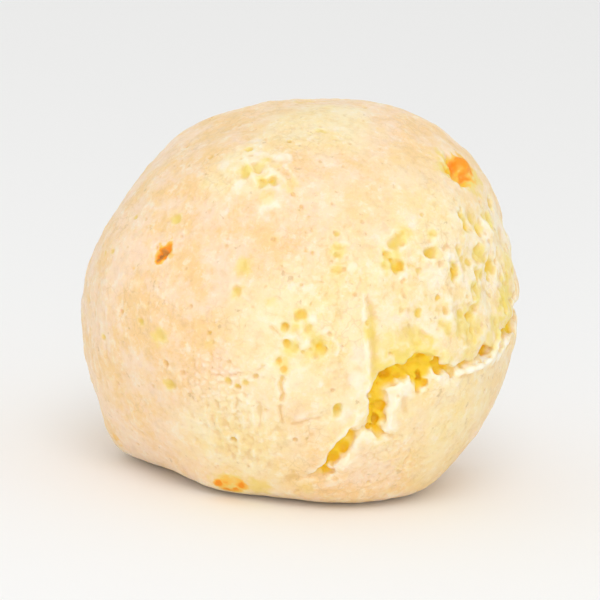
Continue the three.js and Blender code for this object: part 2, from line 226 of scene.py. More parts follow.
FOOT_TOAST = 0.2  # how strongly the tray has browned the foot's underside

low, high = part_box("cheese_ball")
UNIT = (high.x - low.x) / SOLID_WIDTH  # metres of the frame for a millimetre of the form
HEART = np.array([0, HEART_BACK, WAIST_HEIGHT])
MEAN_RADIUS = (WIDTH + DEPTH) / 4  # turns a direction into a point of the skin, for noise

# Layers of noise: (height, length of a bump, seed), or without the height where it is 1.
BORDER_NOISE = [(1.3, 2.4, 71)]
CREAM_NOISE = [(7, 9, 68), (4, 3.5, 69), (2, 1.3, 70)]
TEAR_NOISE = [(0.3, 1.5, 72), (0.15, 0.75, 73)]
LINE_NOISE = (0.25, 1.2, 74)
PATCH_NOISE = (3, 4, 75)
SKIN_NOISE = [(0.2, 6.5, 81), (0.13, 2.7, 82)]
CRUST_GRAIN = (0.06, 1.1, 83)
SPONGE_GRAIN = (0.1, 1.4, 84)
WRINKLES = [(1, 0.95, 77), (0.7, 0.6, 76)]
STRETCH_NOISE = (1.9, 80)
CRACKLE_WHERE = (8, 67)
CRACKLE_SHAKE = (0.3, 1, 78)
SPOT_NOISE = [(0.45, 1.0, 111), (0.25, 0.5, 112)]
FOOT_MOTTLE = (0.4, 4, 85)
CRUMPLE = [(0.75, 0.8, 91), (0.5, 0.42, 92)]

UPRIGHT = [1, 1, 0.2]  # squeezing the height draws the noise's bumps out upwards
STRETCHED = [1, 1, 0.4]
WRINKLE_HEIGHT = 0.16
CRACKLE_DEPTH = 0.18
CRACKLE_CELLS = (1.05, 79)  # size and seed
SPONGE_LUMPS = 0.6  # share of the solid's lumps that is left beside the open bubbles
SPONGE_STRETCH = 0.14

VOXEL = 0.16
CHART_STEP = 0.25
MOST_TRIANGLES = 196_000


# ---- random relief ----

def draws_from(seed):
    """The same sequence of numbers from 0 to 1 as the solid's."""
    state = seed
    while True:
        state = (state * 1664525 + 1013904223) % 2**32
        yield state / 2**32


def plane_waves(length, height, count, seed):
    """The solid's own relief: plane waves of one length in drawn directions, added up."""
    draw = draws_from(seed)
    waves = []
    for _ in range(count):
        z = 2 * next(draw) - 1
        angle = 2 * math.pi * next(draw)
        ring = math.sqrt(1 - z * z)
        along = np.array([ring * math.cos(angle), ring * math.sin(angle), z]) * 2 * math.pi / length
        waves.append((along.astype(np.float32), 2 * math.pi * next(draw)))

    def relief(points):
        total = sum(np.sin(points @ along + phase) for along, phase in waves)
        return height * math.sqrt(2 / count) * total
    return relief


TABLE_SIZE = 32  # a power of two, so that cell numbers wrap by their bits


def noise(points, length, seed):
    """Gradient noise of about -1 to 1 whose bumps are length apart."""
    chance = np.random.default_rng(seed)
    slopes = chance.standard_normal((3, TABLE_SIZE ** 3)).astype(np.float32)
    slopes /= np.linalg.norm(slopes, axis=0)
    shifts = chance.uniform(TABLE_SIZE, 2 * TABLE_SIZE, 3)
    places = [(points[..., axis] / length + shifts[axis]).astype(np.float32) for axis in range(3)]
    cells = [np.floor(place).astype(np.int32) for place in places]
    offsets = [place - cell for place, cell in zip(places, cells)]
    blends = [f * f * f * (f * (f * 6 - 15) + 10) for f in offsets]
    total = np.zeros(points.shape[:-1], np.float32)
    for corner in np.ndindex(2, 2, 2):
        i, j, k = ((cell + step) & (TABLE_SIZE - 1) for cell, step in zip(cells, corner))
        number = (i * TABLE_SIZE + j) * TABLE_SIZE + k
        x, y, z = (blend if step else 1 - blend for blend, step in zip(blends, corner))
        rise = sum(s[number] * (f - step) for s, f, step in zip(slopes, offsets, corner))
        total += x * y * z * rise
    return 1.7 * total


def layer(points, height, length, seed, share=1):
    return share * height * noise(points, length, seed)


def layers(points, noises, start=0):
    """The start with every layer of noise added."""
    return sum((layer(points, *each) for each in noises), start)


def dense_noise(axes, length, seed):
    """Smooth noise over a whole voxel grid: random lattice values spread by cubic splines."""
    spreads = []
    for axis in axes:
        place = (axis - axis[0]) / length + 2
        nodes = np.arange(int(place[-1]) + 3)
        t = np.abs(place[:, None] - nodes[None, :])
        near = 2 / 3 - t ** 2 + t ** 3 / 2
        far = np.clip(2 - t, 0, None) ** 3 / 6
        spreads.append(np.where(t < 1, near, far).astype(np.float32))
    chance = np.random.default_rng(seed)
    field = chance.standard_normal([s.shape[1] for s in spreads]).astype(np.float32)
    for spread in spreads:
        field = np.tensordot(field, spread, axes=(0, 1))
    return field / field.std()


def smoothstep(start, end, value):
    t = np.clip((value - start) / (end - start), 0, 1)
    return t * t * (3 - 2 * t)


def rounded_greater(a, b, span):
    """The greater of two fields, with the corner between them rounded over the given span."""
    h = np.maximum(0, span - np.abs(a - b)) / span
    return np.maximum(a, b) + h * h * span / 4


# ---- the chart of directions ----

def toward(turn, rise):
    t, r = math.radians(turn), math.radians(rise)
    return np.array([math.sin(t) * math.cos(r), -math.cos(t) * math.cos(r), math.sin(r)])


class Chart:
    """An even grid of directions over turn and rise, on which maps of the skin are made."""

    def __init__(self, step):
        self.step = step
        turns = np.radians(np.arange(-180, 180 + step / 2, step))
        rises = np.radians(np.arange(-90, 90 + step / 2, step))
        turn, rise = np.meshgrid(turns, rises)
        rows = [np.sin(turn) * np.cos(rise), -np.cos(turn) * np.cos(rise), np.sin(rise)]
        self.shape = turn.shape
        self.direction = np.stack(rows, axis=-1).astype(np.float32)
        self.skin = self.direction * np.float32(MEAN_RADIUS)

    def places(self, points):
        """Where points about the heart fall on the chart: cell numbers and shares between them."""
        q = np.linalg.norm(points, axis=-1)
        turn = np.degrees(np.arctan2(points[..., 0], -points[..., 1]))
        rise = np.degrees(np.arcsin(np.clip(points[..., 2] / np.maximum(q, 1e-6), -1, 1)))
        column = (turn + 180) / self.step
        row = (rise + 90) / self.step
        i = np.clip(row.astype(np.int32), 0, self.shape[0] - 2)
        j = np.clip(column.astype(np.int32), 0, self.shape[1] - 2)
        return i * self.shape[1] + j, (row - i).astype(np.float32), (column - j).astype(np.float32)

    def sample(self, values, places):
        cell, down, across = places
        flat = values.ravel()
        wide = self.shape[1]
        upper = flat[cell] * (1 - across) + flat[cell + 1] * across
        lower = flat[cell + wide] * (1 - across) + flat[cell + wide + 1] * across
        return upper * (1 - down) + lower * down


def near_line(chart, corners, margin):
    """The chart cells within a margin of a line, their distance from it and their place along it."""
    line = np.array([toward(c[0], c[1]) * MEAN_RADIUS for c in corners], np.float32)
    middle = line.mean(axis=0)
    reach = np.linalg.norm(line - middle, axis=1).max() + margin
    cells = np.nonzero(np.linalg.norm(chart.skin - middle, axis=-1) < reach)
    points = chart.skin[cells]
    best = np.full(len(points), 1e9, np.float32)
    place = np.zeros(len(points), np.float32)
    for i in range(len(line) - 1):
        along = line[i + 1] - line[i]
        t = np.clip((points - line[i]) @ along / (along @ along), 0, 1)
        away = np.linalg.norm(points - line[i] - t[:, None] * along, axis=1)
        closer = away < best
        best = np.where(closer, away, best)
        place = np.where(closer, i + t, place)
    return cells, best, place


def along_line(corners, column, place):
    return np.interp(place, np.arange(len(corners)), [c[column] for c in corners])


# ---- maps of the skin ----

def body_radius(direction):
    upper = HEIGHT - WAIST_HEIGHT
    lower = WAIST_HEIGHT / math.sqrt(1 - (FOOT_WIDTH / WIDTH) ** 2)
    vertical = np.where(direction[..., 2] > 0, upper, lower)
    x, y, z = np.moveaxis(direction, -1, 0)
    return 1 / np.sqrt((2 * x / WIDTH) ** 2 + (2 * y / DEPTH) ** 2 + (z / vertical) ** 2)


def angle_from(direction, turn, rise):
    centre = toward(turn, rise).astype(np.float32)
    return np.degrees(np.arccos(np.clip(direction @ centre, -1, 1)))


def swell_lift(direction):
    return sum(lift * np.exp(-(angle_from(direction, turn, rise) / reach) ** 2)
               for turn, rise, reach, lift in SWELLS)


def patch(chart, turn, rise, wander, start, end):
    """1 within start degrees of a direction, 0 beyond end degrees, with a wandering border."""
    away = angle_from(chart.direction, turn, rise) + wander
    return 1 - smoothstep(start, end, away)


def sponge_share(chart):
    wander = layers(chart.skin, BORDER_NOISE, plane_waves(**BORDER_WAVE)(chart.skin))
    half = SPONGE_BORDER / 2
    share = np.zeros(chart.shape, np.float32)
    for turn, rise, reach, burst in SPONGE_PATCHES:
        share = np.maximum(share, burst * patch(chart, turn, rise, wander, reach - half, reach + half))
    return share


def cream_share(chart):
    wander = layers(chart.skin, CREAM_NOISE)
    share = np.zeros(chart.shape, np.float32)
    for turn, rise, reach in CREAM_PATCHES:
        share = np.maximum(share, patch(chart, turn, rise, wander, 0.35 * reach, 1.3 * reach))
    return share


FAR_FROM_TEARS = 20  # stands for the distance where no tear is within the margin
TEAR_MARGIN = 6  # how far about a tear its maps and its cut are worked out


def tear_maps(chart):
    """For every direction: how far outside the nearest tear it is, and how wide and deep that is."""
    away = np.full(chart.shape, FAR_FROM_TEARS, np.float32)
    wide = np.ones(chart.shape, np.float32)
    deep = np.zeros(chart.shape, np.float32)
    for tear in TEARS:
        cells, distance, place = near_line(chart, tear, TEAR_MARGIN)
        half = along_line(tear, 2, place)
        outside = distance - half
        closer = outside < away[cells]
        away[cells] = np.where(closer, outside, away[cells])
        wide[cells] = np.where(closer, half, wide[cells])
        deep[cells] = np.where(closer, along_line(tear, 3, place), deep[cells])
    ragged = layers(chart.skin, TEAR_NOISE, plane_waves(**TEAR_WAVE)(chart.skin))
    return away + ragged, wide, deep


def add_line(chart, relief, shake, height, half, reach, fade, corners):
    """A shaken ridge along a line, or a groove where the height is less than 0.

    It is worked out as far away as reach half widths, and fades over a share of its end steps.
    """
    cells, distance, place = near_line(chart, corners, reach * half)
    taper = smoothstep(0, fade, np.minimum(place, len(corners) - 1 - place))
    relief[cells] += height * taper * np.exp(-((distance + shake[cells]) / half) ** 2)


def line_relief(chart):
    """Ridges of stretched skin less the fine cracks."""
    relief = np.zeros(chart.shape, np.float32)
    shake = layer(chart.skin, *LINE_NOISE)
    for height, half, corners in RIDGES:
        add_line(chart, relief, shake, height, half, 4, 0.7, corners)
    for half, depth, corners in FINE_CRACKS:
        add_line(chart, relief, 0.5 * shake, -depth, half, 3, 0.5, corners)
    return relief


def cell_edges(points, size, seed):
    """0 in the middle of an uneven cell, 1 on the edge between two."""
    chance = np.random.default_rng(seed)
    table = chance.uniform(0.1, 0.9, (TABLE_SIZE,) * 3 + (3,)).astype(np.float32)
    p = points / size + 2 * TABLE_SIZE
    cell = np.floor(p).astype(np.int32)
    first = np.full(len(points), 9, np.float32)
    second = np.full(len(points), 9, np.float32)
    for step in np.ndindex(3, 3, 3):
        at = cell + np.array(step) - 1
        wrapped = at % TABLE_SIZE
        seed_point = at + table[wrapped[:, 0], wrapped[:, 1], wrapped[:, 2]]
        away = np.linalg.norm(p - seed_point, axis=1)
        second = np.minimum(second, np.maximum(first, away))
        first = np.minimum(first, away)
    return 1 - np.clip((second - first) * 4, 0, 1)


def dab(chart, values, shake, turn, rise, reach, strength):
    """Raises values to strength in a ragged spot of the given reach in millimetres."""
    centre = toward(turn, rise) * MEAN_RADIUS
    spread = math.degrees(1.8 * reach / MEAN_RADIUS)
    rows = np.arange(*(int((rise + 90 + s) / chart.step) for s in (-spread, spread)))
    sideways = min(180, spread / max(0.05, math.cos(math.radians(rise))))
    columns = np.arange(*(int((turn + 180 + s) / chart.step) for s in (-sideways, sideways)))
    block = np.ix_(np.clip(rows, 0, chart.shape[0] - 1), columns % (chart.shape[1] - 1))
    ragged = shake[block] * min(1, reach / 1.5)
    away = np.linalg.norm(chart.skin[block] - centre, axis=-1) / reach + ragged
    values[block] = np.maximum(values[block], strength * (1 - smoothstep(0.35, 1.15, away)))


def spots(chart, places, shake):
    values = np.zeros(chart.shape, np.float32)
    for place in places:
        dab(chart, values, shake, *place)
    values[:, -1] = values[:, 0]
    return values


# Where the skin is wrinkled or crackled: (turn, rise, reach in degrees, share).
WRINKLED = [(-13, -27, 16, 1.0), (-70, -12, 22, 0.7), (120, -25, 24, 0.7), (-35, 25, 25, 0.5)]
CRACKLED = [(-21, -13, 14, 1.0), (6, 22, 16, 0.8), (-140, 25, 26, 0.9), (35, -32, 14, 0.8)]


def patches(chart, places, wander):
    return sum(share * patch(chart, turn, rise, wander, 0.5 * reach, reach)
               for turn, rise, reach, share in places)


def wrinkle_relief(chart):
    """Fine upright wrinkles low at the front left, and crackled skin above them."""
    upright = layers(chart.skin * UPRIGHT, WRINKLES)
    wander = layer(chart.skin, *PATCH_NOISE)
    relief = WRINKLE_HEIGHT * patches(chart, WRINKLED, wander) * upright
    everywhere = 0.2 + 0.4 * smoothstep(-0.1, 0.5, noise(chart.skin, *CRACKLE_WHERE))
    crackled = np.maximum(patches(chart, CRACKLED, wander), everywhere)
    cells = np.nonzero(crackled > 0.02)
    shaken = chart.skin[cells] + layer(chart.skin[cells], *CRACKLE_SHAKE)[:, None]
    edges = cell_edges(shaken, *CRACKLE_CELLS)
    relief[cells] -= CRACKLE_DEPTH * crackled[cells] * edges ** 2
    return relief


def skin_maps(chart):
    base = body_radius(chart.direction) + swell_lift(chart.direction)
    base = base + plane_waves(**CRUST_WAVE)(chart.skin)
    sponge = sponge_share(chart)
    tear, wide, deep = tear_maps(chart)
    lump = plane_waves(**SPONGE_WAVE)(chart.skin)
    stretched = 1 - np.abs(noise(chart.skin * STRETCHED, *STRETCH_NOISE)) * 2
    lip = LIP_LIFT * np.minimum(1, deep) * np.exp(-((tear - LIP_REACH) / LIP_REACH) ** 2)
    crust = 1 - sponge
    relief = layers(chart.skin, SKIN_NOISE)
    relief = relief + layer(chart.skin, *CRUST_GRAIN, crust)
    relief = relief + sponge * (SPONGE_LUMPS * lump - SPONGE_DROP + SPONGE_STRETCH * stretched)
    relief = relief + layer(chart.skin, *SPONGE_GRAIN, sponge)
    relief = relief + lip + line_relief(chart) + wrinkle_relief(chart)
    skin = base + relief
    floor = WAIST_HEIGHT / np.maximum(-chart.direction[..., 2], 1e-3)
    shake = layers(chart.skin, SPOT_NOISE)
    maps = {
        "envelope": -rounded_greater(-(base - sponge * SPONGE_DROP), -floor, FOOT_EDGE),
        "skin": -rounded_greater(-skin, -floor, FOOT_EDGE),
        "sponge": sponge,
        "cream": cream_share(chart),
        "tear": tear,
        "wide": wide,
        "deep": deep,
        "shake": shake,
        "toast": spots(chart, TOASTS, shake),
        "yolk": spots(chart, YOLKS, 1.3 * shake),
        "flake": spots(chart, FLAKES, 1.6 * shake),
    }
    return {name: values.astype(np.float32) for name, values in maps.items()}


# ---- the voxel field ----

BAND = (14, 32)  # between these radii the distance to the skin is worked out
BACKGROUND = 3.0  # the distance given elsewhere
SIDE_ROOM = 2
TOP_ROOM = 3


class Field:
    """Signed distance to the skin on a grid of voxels about the heart: less than 0 inside."""

    def __init__(self, chart, maps):
        margin = 3 * VOXEL
        half = np.array([WIDTH / 2 + SIDE_ROOM, DEPTH / 2 + SIDE_ROOM])
        lows = [-half[0], -half[1], -WAIST_HEIGHT - margin]
        highs = [half[0], half[1], HEIGHT - WAIST_HEIGHT + TOP_ROOM]
        self.axes = [np.arange(a, b, VOXEL, dtype=np.float32) for a, b in zip(lows, highs)]
        self.chart = chart
        self.maps = maps
        self.crumple = sum(h * dense_noise(self.axes, length, seed) for h, length, seed in CRUMPLE)
        x, y, z = np.meshgrid(*self.axes, indexing="ij", sparse=True)
        q = np.sqrt(x * x + y * y + z * z)
        self.values = np.where(q <= BAND[0], np.float32(-BACKGROUND), np.float32(BACKGROUND))
        self.fill_band((q > BAND[0]) & (q < BAND[1]))

    def points_at(self, i, j, k):
        return np.stack([axis[cells] for axis, cells in zip(self.axes, (i, j, k))], axis=-1)

    def fill_band(self, band):
        i, j, k = np.nonzero(band)
        points = self.points_at(i, j, k)
        places = self.chart.places(points)
        above = np.linalg.norm(points, axis=-1) - self.chart.sample(self.maps["skin"], places)
        self.values[i, j, k] = above
        tear = self.maps["tear"].ravel()[places[0]]
        near = np.nonzero((above < 1) & (above > -TEAR_MARGIN) & (tear < 1.5))[0]
        self.cut_tears(i[near], j[near], k[near], tuple(p[near] for p in places))

    def cut_tears(self, i, j, k, places):
        """Each tear is a channel that widens under the crust and closes at its depth."""
        above = self.values[i, j, k]
        names = ("tear", "wide", "deep")
        tear, wide, deep = (self.chart.sample(self.maps[name], places) for name in names)
        deep = np.maximum(deep, 0.1)
        down = np.clip(-above / deep, -1, 3)
        under = np.clip(down, 0, 1)
        channel = TEAR_UNDERCUT * 4 * under * (1 - under) * np.minimum(1, deep / 2)
        channel = channel - (wide + TEAR_CLOSING) * np.clip(down, 0, 3) ** 2
        torn = channel - tear + TEAR_CRUMPLE * self.crumple[i, j, k] * smoothstep(0, 0.3, down)
        self.values[i, j, k] = rounded_greater(above, torn, TEAR_ROUNDING)

    def block(self, centre, reach):
        ends = [np.searchsorted(a, (c - reach, c + reach)) for a, c in zip(self.axes, centre)]
        return tuple(slice(*pair) for pair in ends)

    def distance(self, block, centre):
        x, y, z = (a[s] - c for a, s, c in zip(self.axes, block, centre))
        return np.sqrt(x[:, None, None] ** 2 + y[None, :, None] ** 2 + z[None, None, :] ** 2)

    def cut_bubble(self, centre, radius, ragged, rounding):
        block = self.block(centre, radius * 1.6 + rounding)
        hollow = radius * (1 + ragged * self.crumple[block]) - self.distance(block, centre)
        self.values[block] = rounded_greater(self.values[block], hollow, rounding)

    def add_bead(self, centre, radius, rounding):
        block = self.block(centre, radius + 2 * rounding)
        bead = self.distance(block, centre) - radius
        self.values[block] = -rounded_greater(-self.values[block], -bead, rounding)

    def tint(self, turn, rise, reach, strength):
        dab(self.chart, self.maps["yolk"], self.maps["shake"], turn, rise, reach, strength)

    def read(self, name, direction):
        places = self.chart.places(direction[None, :])
        return float(self.chart.sample(self.maps[name], places)[0])

    def skin_point(self, turn, rise, lift=0.0):
        direction = toward(turn, rise)
        return direction * (self.read("skin", direction) + lift)


# Strewn bubbles: how many places are tried, the radii, and how rare large ones are.
SPONGE_BUBBLES = dict(tries=3000, least=0.27, most=1.0, rarity=3.2, seed=101)
CRUST_PINHOLES = dict(tries=520, least=0.16, most=0.36, rarity=3, seed=102)
TEAR_BUBBLES = dict(tries=12000, least=0.25, most=0.7, rarity=2, seed=103)
BACK_BUBBLES = dict(tries=150, least=0.35, most=0.95, rarity=2, seed=105)
SPONGE_SHOWS = 0.3  # above this share of sponge the crust has burst
BUBBLES_APART = 1.15  # least distance between two bubbles of the sponge, in their radii together
TORN_PARTS = 5  # small bubbles that run together to a torn one
TORN_SPREAD = 0.75  # how far out they lie, in the torn bubble's radii
TORN_LIFT = 0.35  # how far above the skin their middles lie at a sink of 0, in their own radii
STAIN = 1.5  # how far a bubble's yellow reaches, in its radii
PIT_STAIN = 0.75  # how yellow a pit is
PIT_SEED = 104


def strewn(tries, least, most, rarity, seed):
    """Bubbles drawn at random: what draws them, direction, turn, rise, radius and a share for the sink."""
    chance = np.random.default_rng(seed)
    for _ in range(tries):
        z = chance.uniform(-1, 1)
        angle = chance.uniform(0, 2 * math.pi)
        ring = math.sqrt(1 - z * z)
        direction = np.array([ring * math.cos(angle), ring * math.sin(angle), z])
        turn = math.degrees(math.atan2(direction[0], -direction[1]))
        size, sink = chance.uniform(size=2)
        radius = least + (most - least) * size ** rarity
        yield chance, direction, turn, math.degrees(math.asin(z)), radius, sink


def cut_torn_bubble(field, chance, turn, rise, radius, sink):
    """A bubble torn open: several small ones side by side that have run together."""
    for _ in range(TORN_PARTS):
        angle, away, size = chance.uniform(size=3)
        spread = math.degrees(radius * TORN_SPREAD * math.sqrt(away) / MEAN_RADIUS)
        part_turn = turn + spread * math.cos(2 * math.pi * angle) / max(0.1, math.cos(math.radians(rise)))
        part_rise = rise + spread * math.sin(2 * math.pi * angle)
        part = radius * (0.4 + 0.45 * size)
        centre = field.skin_point(part_turn, part_rise, (TORN_LIFT - sink) * part)
        field.cut_bubble(centre, part, 0.3, 0.15 + 0.3 * radius)


def open_sponge(field):
    """Bubbles of many sizes, torn open where the sponge shows, few of them deep."""
    made = []
    for chance, direction, turn, rise, radius, sink in strewn(**SPONGE_BUBBLES):
        odd = chance.uniform()
        if field.read("sponge", direction) < SPONGE_SHOWS + 0.5 * odd:
            continue
        at = direction * MEAN_RADIUS
        if any(np.linalg.norm(at - a) < BUBBLES_APART * (radius + r) for a, r in made):
            continue
        made.append((at, radius))
        cut_torn_bubble(field, chance, turn, rise, 1.15 * radius, 0.7 * sink - 0.35)
        field.tint(turn, rise, STAIN * radius, 0.8 * smoothstep(0.25, 0.6, radius))


def open_tears(field):
    """Bubbles in the walls of the tears."""
    for _, direction, turn, rise, radius, sink in strewn(**TEAR_BUBBLES):
        deep = field.read("deep", direction)
        if field.read("tear", direction) > -0.05 or deep < 0.9:
            continue
        centre = field.skin_point(turn, rise, -deep * (0.25 + 0.75 * sink))
        field.cut_bubble(centre, radius, 0.22, 0.3)


def open_pinholes(field):
    """Small bubbles that have broken through the whole crust."""
    for _, direction, turn, rise, radius, sink in strewn(**CRUST_PINHOLES):
        if field.read("sponge", direction) > SPONGE_SHOWS:
            continue
        centre = field.skin_point(turn, rise, radius * (0.5 - 0.6 * sink))
        field.cut_bubble(centre, radius, 0.2, 0.12)


def open_pits(field):
    """The pits that have places of their own."""
    chance = np.random.default_rng(PIT_SEED)
    for turn, rise, radius, sink in PITS:
        cut_torn_bubble(field, chance, turn, rise, radius, sink)
        field.tint(turn, rise, STAIN * radius, PIT_STAIN)


def strew_back(field):
    """Shallow torn bubbles over the side that no named ones lie on."""
    for chance, direction, turn, rise, radius, sink in strewn(**BACK_BUBBLES):
        if direction[1] < 0.1 or field.read("sponge", direction) > SPONGE_SHOWS:
            continue
        cut_torn_bubble(field, chance, turn, rise, radius, 0.5 * sink - 0.55)
        field.tint(turn, rise, 1.6 * radius, PIT_STAIN)


def hang_strand(field):
    """The flake across the tear, as beads along a curve."""
    for bead in range(STRAND_BEADS):
        place = bead / (STRAND_BEADS - 1) * (len(STRAND) - 1)
        turn, rise, lift = (along_line(STRAND, c, place) for c in range(3))
        swell = STRAND_RADIUS * (0.75 + 0.35 * math.sin(place * 5) * math.cos(place * 3))
        field.add_bead(field.skin_point(turn, rise, lift), swell, 0.12)


def set_crumb(field):
    """The bit of cheese that browned on the right shoulder, in its shallow pit."""
    turn, rise = CHEESE_CRUMB
    field.cut_bubble(field.skin_point(turn - 7, rise - 0.5, 1.0), 2.35, 0.1, 0.5)
    field.cut_bubble(field.skin_point(turn - 13, rise, 1.2), 2.0, 0.1, 0.5)
    field.add_bead(field.skin_point(turn, rise, -0.6), 1.2, 0.3)
    field.add_bead(field.skin_point(turn + 2, rise - 1.6, -0.8), 0.9, 0.3)


GRAIN_CRUST = 0.012
GRAIN_TORN = 0.045  # what torn crumb adds to it
GRAIN_REACH = 0.9


def roughen(field):
    """The fine grain of the crust, stronger where the crumb is torn, and the flat foot."""
    i, j, k = np.nonzero(np.abs(field.values) < GRAIN_REACH)
    points = field.points_at(i, j, k)
    places = field.chart.places(points)
    sponge = field.chart.sample(field.maps["sponge"], places)
    skin = field.chart.sample(field.maps["skin"], places)
    buried = smoothstep(0.1, 0.6, skin - np.linalg.norm(points, axis=-1))
    torn = np.maximum(sponge * 0.7, buried)
    field.values[i, j, k] += (GRAIN_CRUST + GRAIN_TORN * torn) * field.crumple[i, j, k]
    foot = -WAIST_HEIGHT - field.axes[2][None, None, :]
    field.values = np.maximum(field.values, foot)


# ---- from field to mesh ----

def largest_piece(points, faces):
    """Drops every loose scrap, so that one closed surface is left."""
    label = np.arange(len(points))
    edges = np.concatenate([faces[:, [a, (a + 1) % 4]] for a in range(4)])
    while True:
        least = np.minimum(label[edges[:, 0]], label[edges[:, 1]])
        before = label.copy()
        np.minimum.at(label, edges[:, 0], least)
        np.minimum.at(label, edges[:, 1], least)
        label = label[label]
        if np.array_equal(before, label):
            break
    names, counts = np.unique(label[faces[:, 0]], return_counts=True)
    kept = faces[label[faces[:, 0]] == names[counts.argmax()]]
    used, renamed = np.unique(kept, return_inverse=True)
    return points[used], renamed.reshape(kept.shape)


def skin_mesh(field):
    grid = openvdb.FloatGrid(BACKGROUND)
    grid.copyFromArray(np.ascontiguousarray(field.values, dtype=np.float32))
    points, _, quads = grid.convertToPolygons(isovalue=0.0, adaptivity=0.0)
    starts = np.array([axis[0] for axis in field.axes])
    points, quads = largest_piece(points * VOXEL + starts, quads.astype(np.int64))
    mesh = bpy.data.meshes.new("cheese_ball_skin")
    mesh.from_pydata([], [], [])
    mesh.vertices.add(len(points))
    mesh.vertices.foreach_set("co", ((points + HEART) * UNIT).astype(np.float32).ravel())
    mesh.loops.add(quads.size)
    mesh.loops.foreach_set("vertex_index", quads.astype(np.int32).ravel())
    mesh.polygons.add(len(quads))
    mesh.polygons.foreach_set("loop_start", np.arange(0, quads.size, 4, dtype=np.int32))
    mesh.update(calc_edges=True)
    mesh.validate()
    return mesh


def thinned(piece, most):
    """Collapses edges, the flattest first, until at most the given number of triangles is left."""
    triangles = sum(len(p.vertices) - 2 for p in piece.data.polygons)
    modifier = piece.modifiers.new("fewer", "DECIMATE")
    modifier.ratio = min(1, most / triangles)
    modifier.use_collapse_triangulate = True
    bpy.context.view_layer.update()
    result = piece.evaluated_get(bpy.context.evaluated_depsgraph_get())
    mesh = bpy.data.meshes.new_from_object(result)
    piece.modifiers.clear()
    piece.data = mesh
    return mesh


def write_attribute(mesh, name, values):
    attribute = mesh.attributes.new(name, "FLOAT", "POINT")
    attribute.data.foreach_set("value", values.astype(np.float32))


def hollowness(mesh, co, rounds):
    """How far each corner lies below its neighbours' mean, in mm, smoothed: more than 0 in hollows."""
    count = len(co)
    edges = np.zeros(len(mesh.edges) * 2, np.int32)
    mesh.edges.foreach_get("vertices", edges)
    a, b = edges.reshape(-1, 2).T
    normals = np.zeros(count * 3, np.float32)
    mesh.vertices.foreach_get("normal", normals)
    normals = normals.reshape(-1, 3)
    links = np.bincount(a, minlength=count) + np.bincount(b, minlength=count)

    def mean_of_neighbours(values):
        total = np.bincount(a, values[b], count) + np.bincount(b, values[a], count)
        return total / links
    smooth = co.copy()
    for _ in range(rounds):
        smooth = np.stack([mean_of_neighbours(smooth[:, c]) for c in range(3)], axis=-1)
    return np.sum((smooth - co) * normals, axis=1)


SMOOTHING_ROUNDS = 6
FOOT_BROWNED = 0.6  # the height up to which the foot is browned


def paint(mesh, chart, maps):
    """Writes what the material reads at each corner."""
    co = np.zeros(len(mesh.vertices) * 3, np.float32)
    mesh.vertices.foreach_get("co", co)
    co = co.reshape(-1, 3) / UNIT
    about = co - HEART
    places = chart.places(about)
    q = np.linalg.norm(about, axis=1)
    write_attribute(mesh, "below", chart.sample(maps["envelope"], places) - q)
    for name in ("sponge", "cream", "yolk", "flake"):
        write_attribute(mesh, name, chart.sample(maps[name], places))
    baked_foot = FOOT_TOAST * smoothstep(FOOT_BROWNED, 0.0, co[:, 2]) * (1 + layer(co, *FOOT_MOTTLE))
    write_attribute(mesh, "toast", np.maximum(chart.sample(maps["toast"], places), baked_foot))
    write_attribute(mesh, "hollow", hollowness(mesh, co, SMOOTHING_ROUNDS))


# ---- material ----

def srgb(r, g, b):
    def linear(c):
        c /= 255
        return c / 12.92 if c <= 0.04045 else ((c + 0.055) / 1.055) ** 2.4
    return (linear(r), linear(g), linear(b), 1)


class Nodes:
    """A short hand for building a node tree."""

    def __init__(self, material):
        self.tree = material.node_tree
        self.tree.nodes.clear()

    def new(self, kind, inputs, **settings):
        """A node whose inputs are given numbers, tuples or the outputs of other nodes."""
        node = self.tree.nodes.new(kind)
        for name, value in settings.items():
            setattr(node, name, value)
        for name, value in inputs.items():
            if isinstance(value, bpy.types.NodeSocket):
                self.tree.links.new(value, node.inputs[name])
            else:
                node.inputs[name].default_value = value
        return node

    def attribute(self, name):
        return self.new("ShaderNodeAttribute", {}, attribute_name=name).outputs["Fac"]

    def place(self):
        return self.new("ShaderNodeTexCoord", {}).outputs["Object"]

    def noise(self, scale, detail=4, roughness=0.55):
        given = {"Scale": scale, "Detail": detail, "Roughness": roughness, "Vector": self.place()}
        return self.new("ShaderNodeTexNoise", given).outputs["Fac"]

    def crackle(self, scale, width):
        """1 on the thin lines between uneven cells, 0 inside them."""
        wander = self.new("ShaderNodeTexNoise", {"Scale": 1.5 * scale, "Vector": self.place()})
        given = {0: wander.outputs["Color"], 1: (0.8 / scale,) * 3, 2: self.place()}
        bent = self.new("ShaderNodeVectorMath", given, operation="MULTIPLY_ADD")
        given = {"Scale": scale, "Vector": bent.outputs["Vector"]}
        cells = self.new("ShaderNodeTexVoronoi", given, feature="DISTANCE_TO_EDGE")
        return self.remap(cells.outputs["Distance"], 0.0, width, 1.0, 0.0)

    def remap(self, value, start, end, low=0.0, high=1.0):
        given = {"Value": value, "From Min": start, "From Max": end, "To Min": low, "To Max": high}
        return self.new("ShaderNodeMapRange", given, interpolation_type="SMOOTHSTEP").outputs["Result"]

    def math(self, operation, a, b):
        return self.new("ShaderNodeMath", {0: a, 1: b}, operation=operation).outputs["Value"]

    def mix(self, share, a, b):
        """Colour a going over to b. The numbers are those of the sockets for two colours."""
        return self.new("ShaderNodeMix", {0: share, 6: a, 7: b}, data_type="RGBA").outputs[2]

    def bump(self, scale, distance, **normal):
        """Bumps of noise, over the Normal of other bumps where it is given."""
        height = self.noise(scale, 4, 0.6)
        given = {"Height": height, "Distance": distance, "Strength": BUMP_STRENGTH, **normal}
        return self.new("ShaderNodeBump", given).outputs["Normal"]


